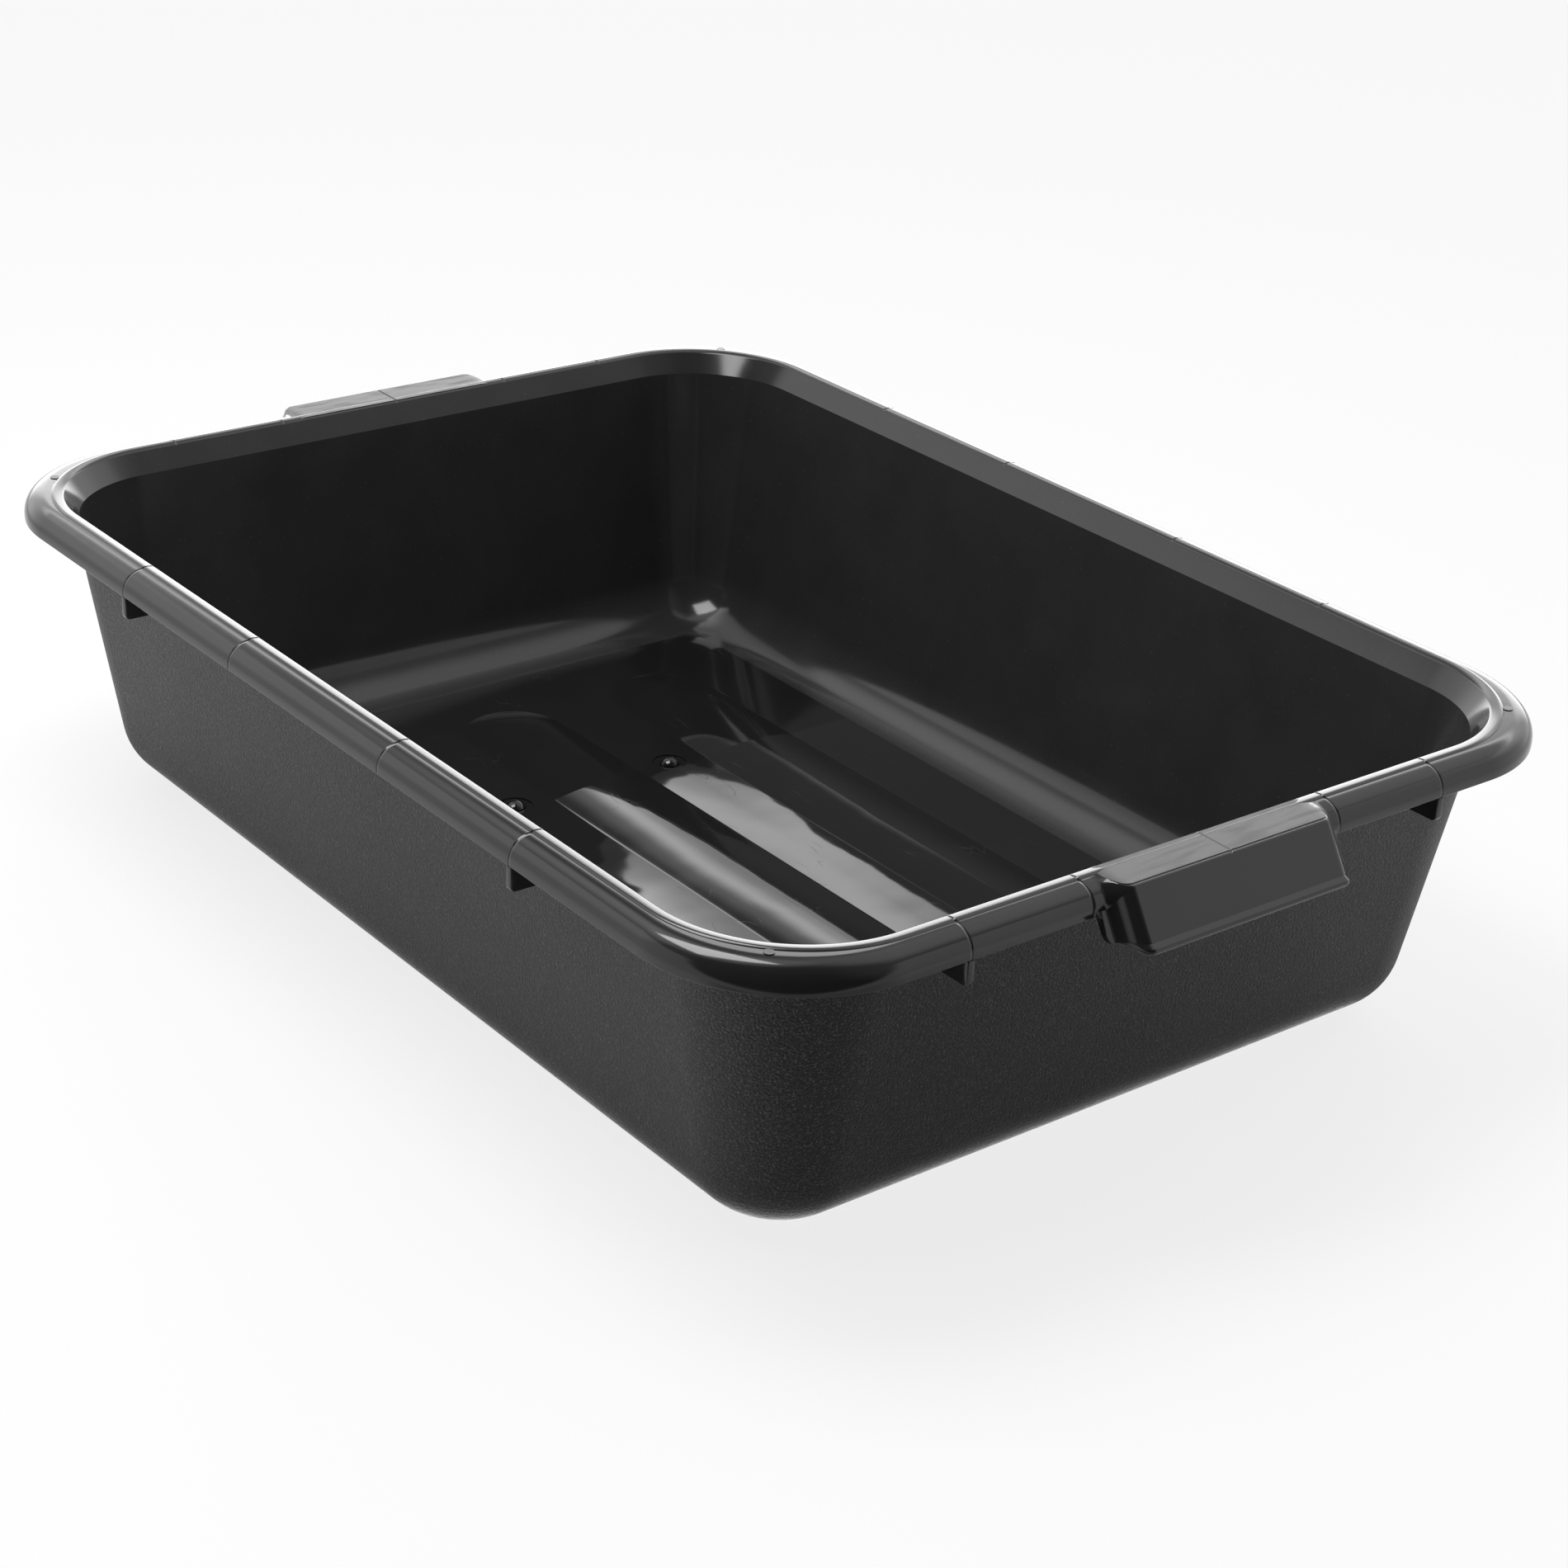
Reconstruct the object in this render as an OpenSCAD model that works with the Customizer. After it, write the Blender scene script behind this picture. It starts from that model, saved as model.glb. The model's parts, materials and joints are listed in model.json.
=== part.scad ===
// Deep rectangular carrying tub, moulded in black plastic, with a rolled rim
// and a hollow grip at each short end. Millimetres, +Z up, origin at the
// middle of the underside, long sides along X.

/* [Tub] */
// Outer length where the end walls would meet the resting plane
tub_l = 456; // [400:1:560]
// Outer width where the long walls would meet the resting plane
tub_w = 316; // [290:1:420]
// Height from the resting plane to the top of the rim
tub_h = 127; // [100:1:180]
// Outer corner radius where the corners would meet the resting plane
corner_r = 30; // [28:1:50]
// Lean of the walls away from upright, in degrees
draft = 10; // [5:0.5:14]
// Thickness of the walls and of the floor
wall_t = 3; // [2:0.1:4]
// Outer radius of the cove between the floor and the walls
cove_r = 28; // [16:1:30]

/* [Rim] */
// Height of the flared lip at the top of the inside
lip_h = 9; // [7:0.5:14]
// How far the lip flares outward
lip_out = 6.5; // [4:0.5:10]
// Width of the flat crest on top of the rim
crest_w = 4.1; // [3:0.1:8]
// Height of the crest above the flat beside it
crest_step = 0.6; // [0.3:0.1:1]
// Radius of the edge between the lip and the crest
crest_r = 1.2; // [0.4:0.1:1.6]
// Width of the flat between the crest and the shoulder
flat_w = 0.9; // [0.5:0.1:3]
// Growth of the flat's width on the diagonals of the corners
corner_flare = 3; // [1.5:0.1:5]
// Radius of the rounded shoulder outside the flat
shoulder_r = 8; // [6:0.5:12]
// Straight skirt below the shoulder
skirt_h = 2.1; // [1:0.1:12]
// Thickness of the shoulder and the skirt
rim_t = 2.6; // [1.8:0.1:3.4]

/* [Rim seams] */
// Width of the sunk line over each gusset
seam_w = 1.6; // [1:0.1:3]
// Depth of the sunk line
seam_d = 0.5; // [0.2:0.1:0.8]
// Outermost seam to the start of the corner, on the long sides
long_seam_gap = 64; // [30:1:90]
// Distance between the two seams of each half of a long side
long_seam_pitch = 82; // [50:1:100]
// Outermost seam to the start of the corner, on the ends
end_seam_gap = 19; // [10:1:30]

/* [Grips] */
// Length of each grip between the seams at its ends
grip_l = 114; // [100:1:150]
// Reach of the grip's top face beyond the crest
grip_out = 13; // [11:0.5:18]
// Slope of the grip's front face from upright, in degrees
grip_slope = 32; // [20:1:40]
// Height of the grip from its top face to its bottom edge
grip_h = 20.6; // [17:0.2:30]
// Thickness of the grip
grip_t = 3; // [2:0.1:3.6]
// Greatest turn of the S-curve at the grip's ends, in degrees
grip_turn = 80; // [55:1:85]
// Radius of the lower corners of the front face
grip_corner_r = 9; // [4:0.5:12]
// Height of the bead along the bottom edge
bead_h = 3.6; // [2:0.1:5]
// Projection of the bead from the front face
bead_t = 1; // [0.5:0.1:2]
// Depth of the web hidden under the middle of the grip
web_h = 3.5; // [2:0.5:8]

/* [Gussets and stacking lugs] */
// Thickness of the gussets hidden under the seams
gusset_t = 2; // [1.2:0.1:3]
// Thickness of the stacking lugs under the outermost seams
lug_t = 3; // [2:0.1:5]
// Drop of the lugs below the skirt
lug_drop = 9.2; // [4:0.2:14]
// Radius of the lugs' lower outer corner
lug_r = 2; // [0.5:0.5:4]

/* [Floor ribs] */
// Width of each long floor rib
rib_w = 46; // [30:1:52]
// Height of the ribs' crown above the floor
rib_h = 2.2; // [1.6:0.1:3.2]
// Floor between the outer ribs and the coves beside them
rib_side_gap = 32; // [15:1:40]
// Floor between the ribs' ends and the coves beyond them
rib_end_gap = 27; // [12:1:60]

/* [Gate marks] */
// Distance of the gate marks from the ribs' ends
gate_from_end = 83; // [40:1:110]
// Diameter of the dome left by each gate
gate_d = 9; // [6:0.5:12]
// Height of the domes
gate_h = 2.4; // [1:0.1:3]
// Outer diameter of the sunk ring round each dome
gate_ring_d = 15; // [13:0.5:20]
// Depth of the sunk ring
gate_ring_depth = 0.5; // [0.2:0.1:0.8]

/* [Ejector marks] */
// Flat left clear on each side of the mark on a corner
mark_gap = 0.1; // [0.1:0.1:0.5]

/* [Hidden] */
$fn = 96;

// Colours of the moulding's surfaces
stipple_black = [0.20, 0.20, 0.19];
satin_black = [0.27, 0.27, 0.26];
gloss_black = [0.10, 0.10, 0.10];

// Sides in the order of their quarter turns from the far long side
FAR = 0;
LEFT = 1;
NEAR = 2;
RIGHT = 3;

// Every wall and rim section is drawn in a plane whose first axis, u, is the
// distance outward from the corner axes, and whose second axis is the height
axis_x = tub_l / 2 - corner_r;
axis_y = tub_w / 2 - corner_r;
wall_u = wall_t / cos(draft);
function wall_out(z) = corner_r + z * tan(draft);
function wall_in(z) = wall_out(z) - wall_u;

// Cove between the floor and the walls
cove_u = corner_r + cove_r * tan(draft) - cove_r / cos(draft);

// Rim section
lip_z = tub_h - lip_h;
crest_u = wall_in(lip_z) + lip_out;
crest_end = crest_u + crest_w;
shoulder_top = tub_h - crest_step;
plate_z = shoulder_top - rim_t;
shoulder_u = crest_end + flat_w;
shoulder_z = shoulder_top - shoulder_r;
skirt_u = shoulder_u + shoulder_r;
skirt_z = shoulder_z - skirt_h;
lip_angle = atan(lip_out / lip_h);
lug_z = skirt_z - lug_drop;
function outer_face(z) = z < lip_z ? wall_out(z) : wall_out(lip_z) + (z - lip_z) * tan(lip_angle);

// Round the corners the shoulder turns about an axis of its own, farther out
corner_shift = corner_flare / (sqrt(2) - 1);

// Ejector marks, raised discs half way across the flat on the diagonals
mark_d = flat_w + corner_flare - 2 * mark_gap;
mark_u = (crest_end + shoulder_u + corner_flare) / 2;
mark_h = crest_step / 2;

// Places of the seams along the sides
long_outer = axis_x - long_seam_gap;
long_inner = long_outer - long_seam_pitch;
end_outer = axis_y - end_seam_gap;
long_seams = [-long_outer, -long_inner, long_inner, long_outer];

// Grip: an S-curve in plan, carried down along the slope of its front face
grip_front = crest_end + grip_out;
grip_low = tub_h - grip_h;
ogee_depth = grip_out * cos(grip_slope);
ogee_r = ogee_depth / (1 - cos(grip_turn)) / 2;
ogee_run = 2 * ogee_r * sin(grip_turn);
grip_straight = grip_l / 2 - ogee_run;
rim_stop = grip_straight + ogee_run / 2;
grip_overrun = grip_corner_r / 3;
grip_low_half = rim_stop + grip_overrun;
grip_ceiling = tub_h - grip_t;
function grip_inner_face(z) =
    grip_front + (tub_h - z) * tan(grip_slope) - grip_t / cos(grip_slope);
web_low = grip_ceiling - web_h;
ogee_back = 4 * grip_out;
bead_stop = -(grip_h - bead_h) / cos(grip_slope);
reach = 4 * tub_h;

// Floor ribs, whose section is one shallow arc
rib_crown_r = (rib_w * rib_w / 4 + rib_h * rib_h) / (2 * rib_h);
crown_facets = 720;
rib_pitch = axis_y + cove_u - rib_side_gap - rib_w / 2;
rib_centre_x = axis_x + cove_u - rib_end_gap - rib_w / 2;

// Gate marks, half way across the lands between the ribs
gate_x = rib_centre_x + rib_w / 2 - gate_from_end;
gate_y = rib_pitch / 2;
gate_sphere_r = (gate_d * gate_d / 4 + gate_h * gate_h) / (2 * gate_h);
cut = 1;

// Turns the children onto one side: outward along +Y, along the side in X
module on_side(side) {
    rotate([0, 0, 90 * side])
        translate([0, side % 2 == 0 ? axis_y : axis_x, 0])
            children();
}

// Extrudes a section along a side, from one place along it to another
module along(from, to) {
    translate([from, 0, 0])
        rotate([90, 0, 90])
            linear_extrude(to - from)
                children();
}

// Turns the children onto one corner, given the signs of its X and Y
module at_corner(x, y) {
    turn = x > 0 ? (y > 0 ? 0 : 270) : (y > 0 ? 90 : 180);
    translate([x * axis_x, y * axis_y, 0])
        rotate([0, 0, turn])
            children();
}

// Everything above the cove's and inside the wall's outer face, in section, with
// both faces moved inward by the given depth
module tub_fill(inset) {
    r = cove_r - inset;
    union() {
        translate([cove_u, cove_r])
            circle(r);
        polygon([
            [cove_u, cove_r],
            [cove_u + r * cos(draft), cove_r - r * sin(draft)],
            [wall_out(lip_z) - inset / cos(draft), lip_z],
            [cove_u, lip_z]
        ]);
    }
}

// Cove and wall in section, from the floor's edge up to the lip
module wall_section() {
    intersection() {
        difference() {
            tub_fill(0);
            tub_fill(wall_t);
        }
        translate([cove_u, 0])
            square([crest_u, lip_z]);
    }
}

// Lip and crest in section, with every visible face sunk by the given depth
module crest_section(sunk) {
    top = tub_h - sunk;
    side = sunk / cos(lip_angle);
    edge = crest_u + side - sunk * tan(lip_angle);
    centre = [edge + crest_r * tan(45 - lip_angle / 2), top - crest_r];
    difference() {
        union() {
            polygon([
                [wall_in(lip_z) + side, lip_z],
                [edge, top],
                [crest_u + wall_u, top],
                [wall_out(lip_z), lip_z]
            ]);
            translate([edge, plate_z])
                square([crest_end - edge, top - plate_z]);
        }
        difference() {
            polygon([
                centre,
                centre + 2 * crest_r * [-cos(lip_angle), sin(lip_angle)],
                centre + 3 * crest_r * [-1, 1],
                centre + 2 * crest_r * [0, 1]
            ]);
            translate(centre)
                circle(crest_r);
        }
    }
}

// Flat beside the crest in section, sunk by the given depth
module flat_section(sunk) {
    translate([crest_end, plate_z])
        square([flat_w, rim_t - sunk]);
}

// Shoulder and skirt in section, with the visible faces sunk by the given depth
module shoulder_section(sunk) {
    union() {
        translate([shoulder_u, shoulder_z])
            intersection() {
                difference() {
                    circle(shoulder_r - sunk);
                    circle(shoulder_r - rim_t);
                }
                square(shoulder_r);
            }
        translate([skirt_u - rim_t, skirt_z])
            square([rim_t - sunk, skirt_h]);
    }
}

// Everything within the shoulder's and the skirt's outer faces, in section
module shoulder_fill() {
    translate([crest_end - cut, skirt_z])
        square([shoulder_u - crest_end + cut, shoulder_top - skirt_z]);
    translate([shoulder_u, skirt_z])
        square([shoulder_r, skirt_h]);
    translate([shoulder_u, shoulder_z])
        intersection() {
            circle(shoulder_r);
            square(shoulder_r);
        }
}

// Open channel under the rim in section, from the wall to the skirt
module channel_section() {
    knee = max(lip_z, skirt_z);
    polygon([
        [outer_face(skirt_z), skirt_z],
        [outer_face(knee), knee],
        [outer_face(plate_z), plate_z],
        [shoulder_u, plate_z],
        [shoulder_u, skirt_z]
    ]);
    translate([shoulder_u, skirt_z])
        square([shoulder_r - rim_t, skirt_h]);
    translate([shoulder_u, shoulder_z])
        intersection() {
            circle(shoulder_r - rim_t);
            square(shoulder_r);
        }
}

// Stacking lug in section: it fills the channel and hangs below the skirt
module lug_section() {
    union() {
        channel_section();
        polygon([
            [outer_face(lug_z), lug_z],
            [skirt_u - lug_r, lug_z],
            [skirt_u, lug_z + lug_r],
            [skirt_u, skirt_z],
            [outer_face(skirt_z), skirt_z]
        ]);
        translate([skirt_u - lug_r, lug_z + lug_r])
            circle(lug_r);
    }
}

// Stiffening web under the middle of a grip, in section
module grip_web_section() {
    polygon([
        [outer_face(lip_z), lip_z],
        [outer_face(plate_z), plate_z],
        [crest_end, plate_z],
        [crest_end, grip_ceiling],
        [grip_inner_face(grip_ceiling), grip_ceiling],
        [grip_inner_face(web_low), web_low]
    ]);
}

// A stretch of rim from one place along its side to another, sunk at the seams
module rim_run(from, to, seams, with_shoulder) {
    ends = concat([from], [for (s = seams) each [s - seam_w / 2, s + seam_w / 2]], [to]);
    for (i = [0 : len(ends) - 2]) {
        sunk = i % 2 == 0 ? 0 : seam_d;
        along(ends[i], ends[i + 1])
            union() {
                crest_section(sunk);
                if (with_shoulder) flat_section(sunk);
                if (with_shoulder) shoulder_section(sunk);
            }
    }
}

// Plates of one section, standing across a side at the given places
module plates(places, thickness) {
    for (p = places)
        along(p - thickness / 2, p + thickness / 2)
            children();
}

// Plan of the grip at right angles to its slope: its front lies on the X axis,
// and at each end an S-curve of two arcs brings it back to the rim
module ogee_plan(inset) {
    bulge_r = ogee_r - inset;
    hollow_r = ogee_r + inset;
    turn_x = grip_straight + bulge_r * sin(grip_turn);
    turn_y = bulge_r * cos(grip_turn) - ogee_r;
    end_x = grip_straight + ogee_run;
    end_y = -ogee_depth - inset;
    difference() {
        union() {
            polygon([
                [-end_x, -ogee_back],
                [end_x, -ogee_back],
                [end_x, end_y],
                [turn_x, turn_y],
                [grip_straight, -inset],
                [-grip_straight, -inset],
                [-turn_x, turn_y],
                [-end_x, end_y]
            ]);
            for (s = [-1, 1])
                translate([s * grip_straight, -ogee_r])
                    circle(bulge_r);
        }
        for (s = [-1, 1])
            translate([s * end_x, ogee_r - ogee_depth])
                circle(hollow_r);
    }
}

// The plan of the grip, carried down and outward along its slope
module grip_prism(inset) {
    translate([0, grip_front, tub_h])
        rotate([grip_slope, 0, 0])
            translate([0, 0, -reach])
                linear_extrude(2 * reach)
                    ogee_plan(inset);
}

// Front view of the grip, carried outward from the crest
module grip_elevation() {
    translate([0, crest_end + reach, 0])
        rotate([90, 0, 0])
            linear_extrude(reach) {
                translate([-grip_l / 2, skirt_z])
                    square([grip_l, tub_h - skirt_z]);
                translate([-grip_low_half, grip_low + grip_corner_r])
                    square([2 * grip_low_half, grip_h - grip_corner_r]);
                translate([grip_corner_r - grip_low_half, grip_low])
                    square([2 * (grip_low_half - grip_corner_r), grip_h]);
                for (s = [-1, 1])
                    translate([s * (grip_low_half - grip_corner_r), grip_low + grip_corner_r])
                        circle(grip_corner_r);
            }
}

// Space below a height, as a block centred on the side
module below(z) {
    translate([-reach, -reach, z - 2 * reach])
        cube(2 * reach);
}

// Hollow grip with its beaded bottom edge, cut to sit on the end of the rim
module grip() {
    difference() {
        intersection() {
            union() {
                grip_prism(0);
                intersection() {
                    grip_prism(-bead_t);
                    below(grip_low + bead_h);
                }
            }
            grip_elevation();
        }
        intersection() {
            grip_prism(grip_t);
            below(grip_ceiling);
        }
        along(rim_stop, grip_l)
            shoulder_fill();
        along(-grip_l, -rim_stop)
            shoulder_fill();
        translate([-seam_w / 2, crest_end - cut, tub_h - seam_d])
            cube([seam_w, reach, reach]);
        translate([0, grip_front, tub_h])
            rotate([grip_slope, 0, 0])
                translate([-seam_w / 2, -seam_d, bead_stop])
                    cube([seam_w, reach, reach]);
    }
}

// Half of a floor rib in section, from its middle outward
module rib_half_section() {
    intersection() {
        translate([0, rib_h - rib_crown_r])
            circle(rib_crown_r, $fn = crown_facets);
        square([rib_w / 2, rib_h]);
    }
}

// One floor rib along X, with round ends, standing on the plane z = 0
module rib() {
    rotate([90, 0, 90])
        linear_extrude(2 * rib_centre_x, center = true) {
            rib_half_section();
            mirror([1, 0])
                rib_half_section();
        }
    for (s = [0, 180])
        rotate([0, 0, s])
            translate([rib_centre_x, 0, 0])
                rotate([0, 0, -90])
                    rotate_extrude(angle = 180)
                        rib_half_section();
}

module at_rib(row) {
    translate([0, row * rib_pitch, wall_t])
        children();
}

module at_gates() {
    for (x = [-gate_x, gate_x], y = [-gate_y, gate_y])
        translate([x, y, wall_t])
            children();
}

// Flat floor inside the coves, with the ribs' hollows in its underside
module floor_panel() {
    color(gloss_black)
        difference() {
            linear_extrude(wall_t) {
                square([2 * (axis_x + cove_u), 2 * axis_y], center = true);
                square([2 * axis_x, 2 * (axis_y + cove_u)], center = true);
                for (x = [-axis_x, axis_x], y = [-axis_y, axis_y])
                    translate([x, y])
                        circle(cove_u);
            }
            for (row = [-1 : 1])
                translate([0, 0, -wall_t])
                    at_rib(row)
                        rib();
            at_gates()
                difference() {
                    cylinder(h = 2 * gate_ring_depth, d = gate_ring_d, center = true);
                    cylinder(h = 2 * gate_ring_depth + cut, d = gate_d, center = true);
                }
        }
}

module floor_rib_near() {
    color(gloss_black)
        at_rib(-1)
            rib();
}

module floor_rib_middle() {
    color(gloss_black)
        at_rib(0)
            rib();
}

module floor_rib_far() {
    color(gloss_black)
        at_rib(1)
            rib();
}

// Domes left by the gates, standing on the lands inside their sunk rings
module gate_domes() {
    color(gloss_black)
        at_gates()
            intersection() {
                translate([0, 0, gate_h - gate_sphere_r])
                    sphere(gate_sphere_r);
                cylinder(h = gate_h + cut, d = gate_d + cut);
            }
}

module long_wall(side) {
    color(stipple_black)
        on_side(side)
            along(-axis_x, axis_x)
                wall_section();
}

module end_wall(side) {
    color(stipple_black)
        on_side(side)
            along(-axis_y, axis_y)
                wall_section();
}

module corner_wall(x, y) {
    color(stipple_black)
        at_corner(x, y)
            rotate_extrude(angle = 90)
                wall_section();
}

module rim_long(side) {
    color(satin_black)
        on_side(side)
            rim_run(-axis_x, axis_x, long_seams, true);
}

module rim_end(side) {
    color(satin_black)
        on_side(side) {
            rim_run(-axis_y, -rim_stop, [-end_outer, -grip_l / 2], true);
            rim_run(-rim_stop, rim_stop, [0], false);
            rim_run(rim_stop, axis_y, [grip_l / 2, end_outer], true);
        }
}

// Plan of the flat round a corner: it is widest on the diagonal, because the
// crest inside it and the shoulder outside it turn about different axes
module corner_flat_plan() {
    difference() {
        intersection() {
            square(shoulder_u);
            union() {
                square([shoulder_u, corner_shift]);
                square([corner_shift, shoulder_u]);
                translate([corner_shift, corner_shift])
                    circle(shoulder_u - corner_shift);
            }
        }
        circle(crest_end);
    }
}

module rim_corner(x, y) {
    color(satin_black)
        at_corner(x, y)
            union() {
                rotate_extrude(angle = 90)
                    crest_section(0);
                translate([0, 0, plate_z])
                    linear_extrude(rim_t)
                        corner_flat_plan();
                translate([corner_shift, corner_shift, 0])
                    rotate_extrude(angle = 90)
                        translate([-corner_shift, 0])
                            shoulder_section(0);
                along(0, corner_shift)
                    shoulder_section(0);
                mirror([1, -1, 0])
                    along(0, corner_shift)
                        shoulder_section(0);
            }
}

// Raised discs left by the ejector pins, on the flat half way round the corners
module rim_corner_marks() {
    color(satin_black)
        for (x = [-1, 1], y = [-1, 1])
            at_corner(x, y)
                rotate([0, 0, 45])
                    translate([mark_u, 0, shoulder_top])
                        cylinder(h = mark_h, d = mark_d);
}

module end_grip(side) {
    color(satin_black)
        on_side(side)
            grip();
}

// Gussets hidden in the channel under the inner seams of the long sides
module gussets_long() {
    color(satin_black)
        for (side = [FAR, NEAR])
            on_side(side)
                plates([-long_inner, long_inner], gusset_t)
                    channel_section();
}

// Gussets beside the grips and the web under the middle of each grip
module gussets_end() {
    color(satin_black)
        for (side = [LEFT, RIGHT])
            on_side(side) {
                plates([-grip_l / 2, grip_l / 2], gusset_t)
                    channel_section();
                plates([0], gusset_t)
                    grip_web_section();
            }
}

module stacking_lugs_long() {
    color(satin_black)
        for (side = [FAR, NEAR])
            on_side(side)
                plates([-long_outer, long_outer], lug_t)
                    lug_section();
}

module stacking_lugs_end() {
    color(satin_black)
        for (side = [LEFT, RIGHT])
            on_side(side)
                plates([-end_outer, end_outer], lug_t)
                    lug_section();
}

floor_panel();
floor_rib_near();
floor_rib_middle();
floor_rib_far();
gate_domes();
long_wall(NEAR);  // long_wall_near
long_wall(FAR);  // long_wall_far
end_wall(LEFT);  // end_wall_left
end_wall(RIGHT);  // end_wall_right
corner_wall(-1, -1);  // corner_wall_near_left
corner_wall(1, -1);  // corner_wall_near_right
corner_wall(-1, 1);  // corner_wall_far_left
corner_wall(1, 1);  // corner_wall_far_right
rim_long(NEAR);  // rim_long_near
rim_long(FAR);  // rim_long_far
rim_end(LEFT);  // rim_end_left
rim_end(RIGHT);  // rim_end_right
rim_corner(-1, -1);  // rim_corner_near_left
rim_corner(1, -1);  // rim_corner_near_right
rim_corner(-1, 1);  // rim_corner_far_left
rim_corner(1, 1);  // rim_corner_far_right
rim_corner_marks();
end_grip(LEFT);  // grip_left
end_grip(RIGHT);  // grip_right
gussets_long();
gussets_end();
stacking_lugs_long();
stacking_lugs_end();
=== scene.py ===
# %% [markdown]
# # A black carrying tub
# A one-piece injection moulded tub with a rolled rim, two hollow grips and three long ribs in its floor.
# The exact CAD parts come in first as a fixed frame.
# The lesson then remakes the long flowing surfaces, so that they shade without breaks,
# and mixes four finishes of one black plastic.

# %% Bring in the CAD frame
import json
import math

import bpy
from mathutils import Matrix, Vector

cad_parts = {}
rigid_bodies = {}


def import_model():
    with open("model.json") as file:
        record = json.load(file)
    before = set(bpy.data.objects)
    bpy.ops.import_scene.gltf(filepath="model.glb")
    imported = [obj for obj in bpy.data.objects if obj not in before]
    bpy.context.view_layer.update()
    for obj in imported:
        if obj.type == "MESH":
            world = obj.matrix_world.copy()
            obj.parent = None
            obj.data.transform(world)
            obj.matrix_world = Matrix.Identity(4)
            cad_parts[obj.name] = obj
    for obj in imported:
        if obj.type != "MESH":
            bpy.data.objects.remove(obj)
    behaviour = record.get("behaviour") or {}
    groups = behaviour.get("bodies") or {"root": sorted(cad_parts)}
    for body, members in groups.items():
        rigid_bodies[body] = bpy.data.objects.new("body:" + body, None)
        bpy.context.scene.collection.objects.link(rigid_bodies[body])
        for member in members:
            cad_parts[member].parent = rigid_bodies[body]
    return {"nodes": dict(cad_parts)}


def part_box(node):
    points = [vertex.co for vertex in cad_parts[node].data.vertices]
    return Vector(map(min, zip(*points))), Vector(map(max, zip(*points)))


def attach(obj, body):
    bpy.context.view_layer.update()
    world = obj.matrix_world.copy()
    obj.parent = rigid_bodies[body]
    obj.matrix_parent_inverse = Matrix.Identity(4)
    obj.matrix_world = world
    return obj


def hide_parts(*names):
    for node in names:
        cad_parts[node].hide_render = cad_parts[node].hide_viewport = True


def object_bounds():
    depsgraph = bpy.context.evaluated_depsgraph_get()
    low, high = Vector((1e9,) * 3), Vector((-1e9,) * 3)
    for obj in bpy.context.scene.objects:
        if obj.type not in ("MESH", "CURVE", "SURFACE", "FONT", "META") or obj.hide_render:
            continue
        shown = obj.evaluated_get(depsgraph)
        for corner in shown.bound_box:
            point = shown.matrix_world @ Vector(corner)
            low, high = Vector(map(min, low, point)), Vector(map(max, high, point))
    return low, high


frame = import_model()
cad_low, cad_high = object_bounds()
MM = 0.001
cad_size = [round(side / MM, 1) for side in cad_high - cad_low]
print("CAD nodes:", len(frame["nodes"]), "size in mm:", cad_size)

# %% [markdown]
# ## Sizes
# A moulded tub is drawn as one section that is carried round a rounded rectangle.
# The section's first axis, u, is the distance outward from the axes of the four corners,
# and its second axis is the height.
# The main sizes are measured on the frame, and the others are the mould's own radii and slopes.

# %% Measure the frame
axis_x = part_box("long_wall_far")[1].x
axis_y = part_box("end_wall_right")[1].y
floor_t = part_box("floor_panel")[1].z
cove_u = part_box("floor_panel")[1].x - axis_x
lip_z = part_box("long_wall_far")[1].z
wall_top_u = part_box("long_wall_far")[1].y - axis_y
crest_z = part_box("rim_long_far")[1].z
skirt_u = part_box("rim_long_far")[1].y - axis_y
skirt_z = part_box("rim_long_far")[0].z
draft = math.radians(10)
cove_r = 28 * MM
wall_u = floor_t / math.cos(draft)
print("corner axes", round(axis_x, 4), round(axis_y, 4))
print("rim from", round(skirt_z, 4), "to", round(crest_z, 4))

# %% [markdown]
# ## A pen for sections
# Blender has no drawing tool that can be run from a script, but a single vertex makes a good pen.
# Extruding the vertex draws a straight line, and spinning it draws an arc.
# With the whole line selected, the same two tools then carry the section along a side and round a corner.

# %% The pen
MERGE = 0.01 * MM
SMOOTH = math.radians(25)
SPECK = 0.01


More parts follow.
